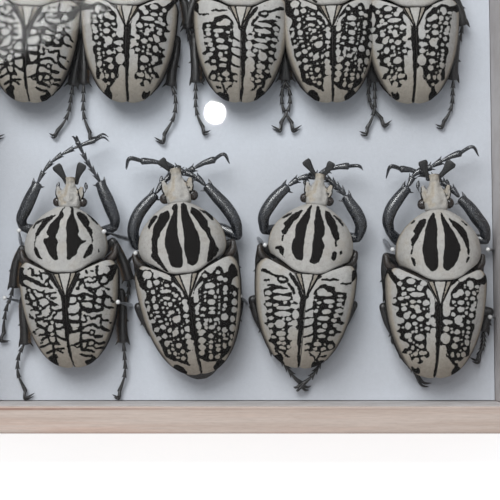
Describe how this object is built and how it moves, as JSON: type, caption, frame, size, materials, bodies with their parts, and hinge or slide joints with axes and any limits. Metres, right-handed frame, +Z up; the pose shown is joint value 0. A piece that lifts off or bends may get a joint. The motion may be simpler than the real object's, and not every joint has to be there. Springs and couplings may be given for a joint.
{
  "type": "goliath beetle",
  "caption": "Dried goliath beetle with banded shield, netted wing cases, forked horn and hooked legs, pinned on white foam in a shallow glazed wooden case.",
  "frame": {"origin": "middle of the underside of the case, which lies on its back", "axes": "+Z up through the glass, +Y along the case towards the beetle's head, +X to the beetle's right"},
  "size_m": [0.246, 0.253, 0.0545],
  "materials": {
    "case_wood": "pale, fine-grained, satin",
    "case_board": "raw board",
    "lining_foam": "matt white foam",
    "case_glass": "clear, polished",
    "patterned_shell": "velvety ivory with black bands and net",
    "body_chitin": "dark brown, satin",
    "leg_chitin": "blue-black, satin",
    "horn_chitin": "black, velvety",
    "eye_chitin": "dark brown, glossy",
    "pin_steel": "polished, white head"
  },
  "bodies": {
    "root": {"back_board": "case_board", "lining": "lining_foam", "glass_pane": "case_glass", "rail_near": "case_wood", "rail_right": "case_wood", "rail_far": "case_wood", "rail_left": "case_wood", "elytron_left": "patterned_shell", "elytron_right": "patterned_shell", "scutellum": "patterned_shell", "prothorax": "patterned_shell", "head": "patterned_shell", "thorax": "body_chitin", "abdomen": "body_chitin", "pygidium": "body_chitin", "eye_left": "eye_chitin", "antenna_left": "leg_chitin", "eye_right": "eye_chitin", "antenna_right": "leg_chitin", "cephalic_horn": "horn_chitin", "femur_fore_left": "leg_chitin", "tibia_fore_left": "leg_chitin", "tarsus_fore_left": "leg_chitin", "femur_fore_right": "leg_chitin", "tibia_fore_right": "leg_chitin", "tarsus_fore_right": "leg_chitin", "femur_mid_left": "leg_chitin", "tibia_mid_left": "leg_chitin", "tarsus_mid_left": "leg_chitin", "femur_mid_right": "leg_chitin", "tibia_mid_right": "leg_chitin", "tarsus_mid_right": "leg_chitin", "femur_hind_left": "leg_chitin", "tibia_hind_left": "leg_chitin", "tarsus_hind_left": "leg_chitin", "femur_hind_right": "leg_chitin", "tibia_hind_right": "leg_chitin", "tarsus_hind_right": "leg_chitin", "pin_1": "pin_steel", "pin_2": "pin_steel", "pin_3": "pin_steel", "pin_4": "pin_steel"}
  },
  "joints": []
}
